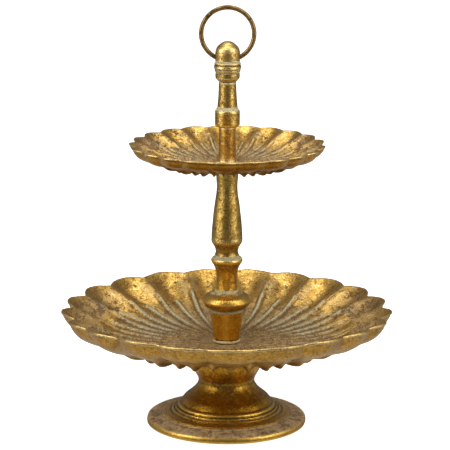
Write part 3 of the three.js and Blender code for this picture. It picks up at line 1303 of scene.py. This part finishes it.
    def underside(self, r: np.ndarray, angles: np.ndarray) -> tuple[np.ndarray, Masks]:
        """The dish's underside.

        Args:
            r: radii, one row per ring.
            angles: directions, one per column.

        Returns:
            Heights above the seat and masks, shaped (rings, directions).
        """
        away = self.away(angles)
        front = smoothstep(0.5, 0.95, -np.sin(angles))
        ribs = 1 - np.abs(np.sin(math.pi * away)) ** 0.7
        run = curve_through(self.belly)
        height = np.interp(r, run[:, 0], run[:, 1]) + 2.6 * front * self.full.at(r)
        height = height - (1.2 * self.low_ribs.at(r) + (self.tooth + 0.8 * front) * self.teeth.at(r)) * ribs
        height = height + self.pinch * away**3 * self.creases.at(r)
        crease = smoothstep(0.86, 1.0, away) * Span(138, 156, 176, 183).at(r)
        # Painted shade in the grooves between the ribs underneath, and painted highlights on those ribs,
        # nearer the middle.
        low_down = 1 - smoothstep(132, 150, r)
        masks = {
            "washed": self.crease_wash * crease,
            "dull": np.full_like(height, 0.04),
            "hollow": np.maximum(0.85 * (1 - ribs) * low_down, 0.3 * crease),
            "rubbed_and_highlit": 0.3 * ribs * low_down,
            "deep": self.outer_tone * (1 - smoothstep(182, 184, r)) + 0 * angles,
        }
        return height, masks

    def skin(self) -> Skin:
        """The dish's whole surface: inside, edge and underside in one loop.

        Returns:
            The surface with its masks.
        """
        size, angles = self.size(), self.columns()
        hole = self.bore / size
        up = [[hole], np.linspace(hole + 1, 108, 44), np.linspace(110, self.edge + 0.1, 46)]
        back = [np.linspace(self.edge - 0.1, 120, 34), np.linspace(117, 42, 28), [36, 24, hole + 1, hole]]
        inner, outer = (np.concatenate(runs)[:, None] for runs in (up, back))
        turn = np.linspace(0.12, 0.88, 6)[:, None] * math.pi
        top, top_masks = self.inside(inner, angles)
        under, under_masks = self.underside(outer, angles)
        lip = 0.5 * (top[-1] + under[0]) + 0.5 * (top[-1] - under[0]) * np.cos(turn)

        r = np.vstack([inner, self.edge + 0.5 * self.lip * np.sin(turn), outer]) + 0 * angles
        height = np.vstack([top, lip, under])
        # The edge is worn bright and carries a painted highlight.
        masks = {
            name: np.vstack([mask, np.full_like(lip, 0.45 * (name == "rubbed_and_highlit")), under_masks[name]])
            for name, mask in top_masks.items()
        }
        share = self.drawn_in(r, angles)
        r, height = r - self.notch * share, height - self.drop * share

        grid = np.stack([r * np.cos(angles), r * np.sin(angles), height], axis=2)
        uneven = self.unevenness(grid * size * MM).reshape(r.shape)
        outward = smoothstep(130, 184, r)
        front = -np.sin(angles)
        swell = smoothstep(0.2, 0.8, front) * (1 + 0.35 * (1 - smoothstep(0.9, 1.0, front)))
        grid[:, :, 2] += uneven * (0.35 + 0.5 * outward) * smoothstep(44, 60, r) - 0.35 * outward
        grid[:, :, 2] += self.front_rise * swell * smoothstep(138, 184, r)
        wobble = (uneven - 0.6) * 0.9 * outward
        grid[:, :, :2] += np.stack([wobble * np.cos(angles), wobble * np.sin(angles)], axis=2)
        grid *= size * MM
        grid[:, :, 2] += float(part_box(self.node)[0][2])
        return Skin(grid, masks)

    def unevenness(self, grid: np.ndarray) -> np.ndarray:
        """Hand-cast waviness at each point, about -1 to 1."""
        points = grid.reshape(-1, 3)
        return 0.6 * grain(points, 0.021, self.first_lobe) + 0.4 * grain(points, 0.008, self.first_lobe + 1)

    def build(self, finishes: Finishes) -> None:
        """Make the dish in place and dress it."""
        piece = self.skin().build(f"{self.node}_shown", finishes.dish)
        settle(piece, self.node, Body.STAND)


@dataclass
class LowerStem:
    """What stands on the lower dish: clamp, ferrule, knop and trumpet neck.

    Attributes:
        bore: clearance for the M8 rod, in millimetres.
    """

    bore: float = 4.4

    def ferrule(self) -> TurnedPiece:
        """Tapered cup with a beaded foot, hollow over the clamp nut.

        Returns:
            The piece, to be built.
        """
        return TurnedPiece(
            "ferrule",
            half_section(
                straight((self.bore, 9), (10, 9), (10, 0), (14.3, 0)),
                flowing((15.1, 0.5), (15.4, 1.4), (15.2, 2.4), (14.4, 3.1)),
                flowing((14.9, 6), (15.9, 14), (16.8, 22), (17.6, 29), (18.2, 34.7)),
                straight((18.9, 36.2), (self.bore, 36.2)),
            ),
            washed=(Band(1.2, 2.2, 0.8), Band(35.7, 0.9, 0.8)),
            # Worn bright, with painted highlights.
            rubbed_and_highlit=(Band(24.0, 7.0, 0.25),),
            # Painted reflections: upright bright and dark strips down the cup.
            painted_reflection_streaks=0.8,
        )

    def knop(self) -> TurnedPiece:
        """The bulb.

        Returns:
            The piece, to be built.
        """
        return TurnedPiece(
            "knop",
            half_section(
                straight((self.bore, 2.4), (18.0, 2.4)),
                flowing((18.9, 2.8), (19.2, 3.5), (18.9, 4.2)),
                flowing((22.3, 6.2), (25.1, 8.8), (26.6, 12.2), (26.3, 15.2), (24.2, 18.4), (20.6, 20.6)),
                flowing((17.2, 22.0), (13.8, 23.2), (13.4, 24)),
                straight((self.bore, 24)),
            ),
            washed=(Band(3.2, 1.0, 0.75), Band(22.8, 1.8, 0.55), Band(20.0, 1.6, 0.25)),
            # Worn bright, with painted highlights.
            rubbed_and_highlit=(Band(17.0, 3.0, 0.4),),
            sides=160,
        )

    def trumpet(self) -> TurnedPiece:
        """Waisted neck under a disc bead.

        Returns:
            The piece, to be built.
        """
        return TurnedPiece(
            "trumpet_neck",
            half_section(
                straight((self.bore, 0), (12.8, 0)),
                flowing((12.8, 1.4), (12.2, 4.4), (11.8, 9), (11.7, 15), (12, 20), (12.9, 25), (14.2, 28.5)),
                straight((14.5, 29.2)),
                flowing((15.6, 31.2), (16.9, 33), (17.5, 35.0), (17.3, 36.8), (16.2, 38.2), (15.2, 39)),
                straight((self.bore, 39)),
            ),
            washed=(Band(0.8, 2.0, 0.8), Band(29.4, 0.8, 0.5), Band(38.4, 1.2, 0.9)),
            # Worn bright, with painted highlights.
            rubbed_and_highlit=(Band(35.2, 1.2, 0.8),),
            # Painted reflections: faint upright bright and dark strips.
            painted_reflection_streaks=0.3,
        )

    def build(self, finishes: Finishes) -> None:
        """Make every piece between the lower dish and the baluster.

        Args:
            finishes: the stand's materials.
        """
        PlainRing("lower_clamp_washer", self.bore, 8, 1.6).build(finishes.steel)
        HexNut("lower_clamp_nut", 13, 4.0).build(finishes.steel)
        PlainRing("ferrule_gasket", 10.4, 13.6, 0.6, 0.15, slot="rubber").build(finishes.rubber)
        self.ferrule().build(finishes.cup)
        self.knop().build(finishes.stem)
        self.trumpet().build(finishes.stem)


@dataclass
class Column:
    """The baluster between the dishes, its inserts and the two rods."""

    def baluster(self) -> TurnedPiece:
        """The long turned column, bored from both ends.

        Returns:
            The piece, to be built.
        """
        return TurnedPiece(
            "baluster",
            half_section(
                straight((0, 26), (4.4, 26), (4.4, 20.3), (6.1, 20.3), (6.1, 0), (13.9, 0)),
                flowing((13.9, 1.2), (13.1, 3.4), (12.6, 6.6), (13.5, 10.6), (15.2, 13.6), (16.7, 16.0)),
                flowing((17.3, 18.4), (17.3, 22.0), (16.9, 30), (16.0, 41), (14.8, 52), (13.6, 61)),
                flowing((12.4, 69), (11.6, 77), (11.6, 82), (12.1, 89), (12.4, 96.9)),
                straight((5.1, 96.9), (5.1, 80), (3.3, 80), (3.3, 74), (0, 74)),
                step=1.1,
            ),
            washed=(Band(0.8, 1.8, 0.9), Band(9.0, 3.0, 0.3), Band(74, 9, 0.35), Band(94, 4, 0.2)),
            # Worn bright, with painted highlights.
            rubbed_and_highlit=(Band(19.0, 4.0, 0.55),),
            sides=144,
        )

    def build(self, finishes: Finishes) -> None:
        """Make the column, its inserts and both rods.

        Args:
            finishes: the stand's materials.
        """
        self.baluster().build(finishes.column)
        Knurled("baluster_foot_insert", ring_outline(4.0, 6.0, 19.8, 0.3)).build(finishes.brass)
        Knurled("baluster_head_insert", ring_outline(3.0, 5.0, 16.7, 0.3)).build(finishes.brass)
        ThreadedRod("lower_rod", 1.25).build(finishes.steel)
        ThreadedRod("upper_rod", 1.0, sides=20).build(finishes.steel)


@dataclass
class UpperStem:
    """What stands on the upper dish: clamp, sleeve, collar and spindle neck.

    Attributes:
        bore: clearance for the M6 rod, in millimetres.
    """

    bore: float = 3.3

    def sleeve(self) -> TurnedPiece:
        """Plain tube that flares over the dish and hides the clamp nut.

        Returns:
            The piece, to be built.
        """
        return TurnedPiece(
            "sleeve",
            half_section(
                straight((self.bore, 6.8), (7.2, 6.8), (7.2, 0), (11.9, 0)),
                flowing((11.7, 1.4), (10.5, 4.2), (9.8, 8.4), (9.4, 14), (9.3, 24)),
                straight((9.4, 40.6), (self.bore, 40.6)),
            ),
            washed=(Band(1.0, 1.8, 0.8), Band(30, 8, 0.2)),
            # Worn bright, with painted highlights.
            rubbed_and_highlit=(Band(5, 3, 0.5),),
        )

    def collar(self) -> TurnedPiece:
        """Rounded collar.

        Returns:
            The piece, to be built.
        """
        return TurnedPiece(
            "sleeve_collar",
            half_section(
                straight((self.bore, 0), (11.2, 0)),
                flowing((12.6, 0.6), (13.5, 1.8), (13.8, 3.4)),
                straight((13.7, 15.2)),
                flowing((13.7, 17.0), (13.2, 18.8), (12.4, 19.6)),
                straight((12.0, 21), (self.bore, 21)),
            ),
            washed=(Band(19.8, 1.2, 1.0), Band(0.6, 0.8, 0.4)),
            # Worn bright, with painted highlights.
            rubbed_and_highlit=(Band(16.8, 1.4, 0.6), Band(2.6, 1.2, 0.5)),
        )

    def neck(self) -> TurnedPiece:
        """Slender neck under the finial.

        Returns:
            The piece, to be built.
        """
        return TurnedPiece(
            "spindle_neck",
            half_section(
                straight((self.bore, 0), (11.2, 0)),
                flowing((11.1, 1.6), (10.8, 5), (10.3, 11), (9.9, 18), (9.7, 24)),
                straight((9.7, 29), (self.bore, 29)),
            ),
            washed=(Band(0.5, 1.2, 0.9), Band(27.5, 2.4, 0.5)),
        )

    def build(self, finishes: Finishes) -> None:
        """Make every piece between the upper dish and the finial.

        Args:
            finishes: the stand's materials.
        """
        PlainRing("upper_gasket_below", 5.6, 11, 0.6, 0.15, slot="rubber").build(finishes.rubber)
        PlainRing("upper_clamp_washer", self.bore, 6, 1.2).build(finishes.steel)
        HexNut("upper_clamp_nut", 10, 3.0).build(finishes.steel)
        PlainRing("upper_gasket_above", 7.6, 10.8, 0.6, 0.15, slot="rubber").build(finishes.rubber)
        self.sleeve().build(finishes.sleeve)
        self.collar().build(finishes.finial)
        self.neck().build(finishes.finial)


@dataclass
class Finial:
    """The screw-on finial: washer, beaded collar with its insert, hollow dome and split ring.

    Attributes:
        wire: radius of the ring's wire, in millimetres.
        half_gap: half of the gap between the ring's ends.
        inset: how much the ring lies inside its solid.
        hole: radius of the cross hole in the dome.
        pivot: height of the hole's axis above the dome's lower edge.
    """

    wire: float = 2.5
    half_gap: float = 1.0
    inset: float = 0.05
    hole: float = 3.6
    pivot: float = 4.5

    def collar(self) -> TurnedPiece:
        """Collar with two beads, bored from below for the insert and recessed above for the ring.

        Returns:
            The piece, to be built.
        """
        return TurnedPiece(
            "finial_collar",
            half_section(
                straight((0, 15.5), (5.1, 15.5), (5.1, 0), (10.6, 0)),
                flowing((11.6, 1.1), (12.7, 2.3), (13.4, 4.2), (13.5, 6.6), (13.3, 8.6)),
                straight((13.1, 9.6)),
                flowing((13.9, 10.4), (14.3, 11.6), (14.0, 12.7)),
                flowing((14.8, 13.9), (15.0, 15.4), (14.7, 16.8), (14.0, 18.0)),
                flowing((14.4, 18.7), (14.3, 19.7), (13.6, 20.5)),
                straight((13.3, 21.1), (10.2, 21.1), (10.2, 19.1), (0, 19.1)),
                softness=0.3,
                step=0.6,
            ),
            washed=(Band(9.4, 0.7, 0.7), Band(12.8, 0.6, 0.7), Band(20.6, 0.9, 0.9), Band(1.2, 1.2, 0.5)),
            # Worn bright, with painted highlights.
            rubbed_and_highlit=(Band(15.4, 0.9, 0.6),),
            body=Body.FINIAL,
            waver=0.3,
        )

    def dome(self, leaf: bpy.types.Material) -> bpy.types.Object:
        """Hollow dome.

        Args:
            leaf: its finish.

        Returns:
            The dome, still without its cross hole and not settled yet.
        """
        shell = TurnedPiece(
            "finial_dome",
            half_section(
                straight((11.7, 0), (13.3, 0)),
                flowing((13.65, 0.9), (13.7, 4), (13.7, 8), (13.5, 10.8), (12.7, 14.0), (11.4, 16.4)),
                flowing((9.1, 18.6), (6.0, 20.9), (3.0, 22.1), (0, 22.5)),
                straight((0, 12), (10.4, 12), (11.7, 10.6)),
                softness=0.3,
                step=0.6,
            ),
            washed=(Band(0.4, 1.0, 1.0), Band(19.5, 2.5, 0.25)),
            # Worn bright, with painted highlights.
            rubbed_and_highlit=(Band(13.5, 3.0, 0.5),),
            body=Body.FINIAL,
            waver=0.26,
        )
        return shell.skin().build("finial_dome_shown", leaf)

    def drill(self, dome: bpy.types.Object, pivot: float) -> None:
        """Cut the cross hole through both walls of the dome.

        Args:
            dome: the dome's object.
            pivot: height of the hole's axis, in metres.
        """
        hole, depth = self.hole * MM, 40 * MM
        bpy.ops.mesh.primitive_cylinder_add(vertices=48, radius=hole, depth=depth, location=(0, 0, pivot))
        cutter = bpy.context.object
        cutter.rotation_euler[1] = math.pi / 2
        cut = dome.modifiers.new("cross_hole", "BOOLEAN")
        cut.operation, cut.object, cut.solver = "DIFFERENCE", cutter, "EXACT"
        bpy.context.view_layer.update()
        shown = dome.evaluated_get(bpy.context.evaluated_depsgraph_get())
        dome.data = bpy.data.meshes.new_from_object(shown)
        dome.modifiers.clear()
        bpy.data.objects.remove(cutter)

    def ring(self, material: bpy.types.Material) -> bpy.types.Object:
        """The split wire ring, its rounded ends meeting inside the dome.

        Args:
            material: its finish.

        Returns:
            The ring, not settled yet.
        """
        low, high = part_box("ring_handle")
        centre = 0.5 * float(low[2] + high[2])
        wire = self.wire * MM
        line = 0.5 * float(high[0] - low[0]) - wire - self.inset * MM
        start = self.half_gap * MM / line
        quarter = np.linspace(0, math.pi / 2, 5)
        nose = start + wire / line * (1 - np.sin(quarter[::-1]))
        inner = np.linspace(nose[0], TURN - nose[0], 168)
        around = np.concatenate([nose[1:][::-1], inner, TURN - nose[1:]])
        cap = np.cos(quarter)[::-1]
        thick = np.concatenate([cap[:-1], np.ones(len(inner)), cap[:-1][::-1]])[:, None] * wire
        turn = directions(28)[None, :]
        out = line + thick * np.cos(turn)
        facing = around[:, None] - math.pi / 2
        grid = np.stack([out * np.cos(facing), -thick * np.sin(turn), centre + out * np.sin(facing)], axis=2)
        return Skin(grid, looped=False).build("ring_handle_shown", material)

    def build(self, finishes: Finishes) -> None:
        """Make every piece of the finial.

        Args:
            finishes: the stand's materials.
        """
        washer = PlainRing("finial_washer", 3.3, 9.3, 0.8, 0.2, slot="rubber", body=Body.LIFT)
        washer.build(finishes.rubber)
        Knurled("finial_insert", ring_outline(3.05, 5.0, 14.2, 0.3), body=Body.FINIAL).build(finishes.brass)
        self.collar().build(finishes.finial)
        dome = self.dome(finishes.dome)
        self.drill(dome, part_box("finial_dome")[0][2] + self.pivot * MM)
        settle(dome, "finial_dome", Body.FINIAL)
        settle(self.ring(finishes.ring), "ring_handle", Body.RING)


# ---- Studio ----


@dataclass(frozen=True)
class Softbox:
    """A soft light panel.

    Attributes:
        name: of the light.
        place: its middle, in metres.
        width: in metres.
        height: in metres.
        watts: its power.
    """

    name: str
    place: tuple[float, float, float]
    width: float
    height: float
    watts: float

    def build(self, target: Vector) -> None:
        """Hang the panel.

        Args:
            target: what it faces.
        """
        lamp = bpy.data.lights.new(self.name, "AREA")
        lamp.shape, lamp.size, lamp.size_y, lamp.energy = "RECTANGLE", self.width, self.height, self.watts
        holder = bpy.data.objects.new(self.name, lamp)
        holder.location = self.place
        holder.rotation_euler = (target - holder.location).to_track_quat("-Z", "Y").to_euler()
        bpy.context.scene.collection.objects.link(holder)


@dataclass
class Studio:
    """Pale floor, soft light and the camera.

    Attributes:
        distance: of the camera from the stem's axis along the floor, in metres.
        height: of the camera.
        aside: how far the camera stands to the left of the axis.
        pitch: how far it looks down, in degrees.
        roll: its tilt, in degrees.
        lens: focal length in millimetres on a 36 mm sensor.
        boxes: the soft lights.
        levels: brightness of the room, from straight down (0) to straight up (1).
        glow: colour of the room at both sides.
    """

    distance: float = 2.798
    height: float = 0.870
    aside: float = 0.0022
    pitch: float = 12.97
    roll: float = 0.2
    lens: float = 208.3
    boxes: tuple[Softbox, ...] = (
        Softbox("softbox_left", (-0.95, -0.50, 0.50), 0.62, 0.96, 4.9),
        Softbox("softbox_right", (0.95, -0.50, 0.50), 0.62, 0.96, 4.3),
        Softbox("softbox_high_left", (-0.62, -0.42, 1.04), 0.42, 0.42, 2.6),
        Softbox("softbox_high_right", (0.62, -0.42, 1.04), 0.42, 0.42, 2.4),
        Softbox("softbox_top", (0.0, -0.10, 1.9), 1.15, 1.6, 17.0),
    )
    levels: tuple[Point, ...] = ((0.0, 0.80), (0.22, 0.62), (0.37, 0.13), (0.62, 0.20), (1.0, 0.55))
    glow: Colour = (0.66, 0.65, 0.635)

    def camera(self) -> None:
        """Place the camera."""
        lens = bpy.data.cameras.new("camera")
        lens.lens, lens.sensor_width = self.lens, 36.0
        camera = bpy.data.objects.new("camera", lens)
        bpy.context.scene.collection.objects.link(camera)
        pitched = Matrix.Rotation(math.radians(90 - self.pitch), 4, "X")
        rolled = Matrix.Rotation(math.radians(self.roll), 4, "Z")
        stand = Matrix.Translation((-self.aside, -self.distance, self.height))
        camera.matrix_world = stand @ pitched @ rolled
        bpy.context.scene.camera = camera

    def floor(self) -> None:
        """Lay a pale floor that glows like a light table and sweeps up into a backdrop all round."""
        white = Sketch("pale_floor").dressed(
            {
                "Base Color": (0.86, 0.86, 0.86),
                "Roughness": 0.9,
                "Emission Color": (1.0, 1.0, 1.0),
                "Emission Strength": 0.9,
            }
        )
        flat, bend, sides = 9.0, 5.0, 64
        sweep = np.linspace(0, math.pi / 2, 13)
        radii = np.concatenate([[0.0, 0.3, 1.0, 3.0, 6.0], flat + bend * np.sin(sweep)])[:, None]
        heights = np.concatenate([np.zeros(5), bend * (1 - np.cos(sweep))])[:, None]
        angles = directions(sides)[None, :]
        grid = np.stack([radii * np.cos(angles), radii * np.sin(angles), heights + 0 * angles], axis=2)
        floor = Skin(grid[::-1], looped=False).build("floor", white)
        for share in ("visible_diffuse", "visible_glossy", "visible_transmission"):
            setattr(floor, share, False)
        floor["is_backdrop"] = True

    def surroundings(self) -> None:
        """Wrap the room: dim at the horizon, brighter overhead and at both sides, aglow from the floor."""
        world = bpy.data.worlds.new("studio")
        world.use_nodes = True
        board = Board(world.node_tree)
        split = board.node("ShaderNodeSeparateXYZ", Vector=board.place("Generated"))
        across, up = Wire(board, split.outputs["X"]), Wire(board, split.outputs["Z"])
        lift = board.node("ShaderNodeMapRange", Value=up, From_Min=-1.0)
        ramp = board.node("ShaderNodeValToRGB", Fac=Wire(board, lift.outputs["Result"]))
        ramp.color_ramp.interpolation = "EASE"
        points = ramp.color_ramp.elements
        for at, level in self.levels:
            point = points[0] if at == 0.0 else points[-1] if at == 1.0 else points.new(at)
            point.color = (level, level * 0.985, level * 0.96, 1.0)
        beside = board.ease(board.math("ABSOLUTE", across), 0.30, 0.95, 0.0, 0.45)
        level_with = board.ease(up, 0.05, 0.45, 1.0, 0.0)
        colour = board.blend(beside * level_with, Wire(board, ramp.outputs["Color"]), self.glow)
        board.feed(world.node_tree.nodes["Background"].inputs["Color"], colour)
        bpy.context.scene.world = world

    def build(self) -> None:
        """Set up everything round the stand."""
        self.camera()
        self.floor()
        low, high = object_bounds()
        middle = Vector((0, 0, 0.5 * (low[2] + high[2])))
        for box in self.boxes:
            box.build(middle)
        self.surroundings()
        scene = bpy.context.scene
        scene.view_settings.view_transform = "Standard"
        scene.view_settings.look = "None"


def main() -> None:
    """Build the stand round its frame, from the foot up."""
    logging.basicConfig(level=logging.INFO, format="%(name)s: %(message)s")
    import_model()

    Studio().build()
    finishes = Finishes.mixed()
    Foot().build(finishes)
    ShellDish("lower_dish", first_lobe=84.0, bore=4.4, sway=(1.8, 1.2, -0.9)).build(finishes)
    LowerStem().build(finishes)
    Column().build(finishes)
    washes = {"outer_tone": 1.0, "crease_wash": 0.62, "rib_wash": 0.7}
    ShellDish("upper_dish", 78.0, bore=3.3, across=20, front_rise=0.6, tooth=4.8, **washes).build(finishes)
    UpperStem().build(finishes)
    Finial().build(finishes)


if __name__ == "__main__":
    main()
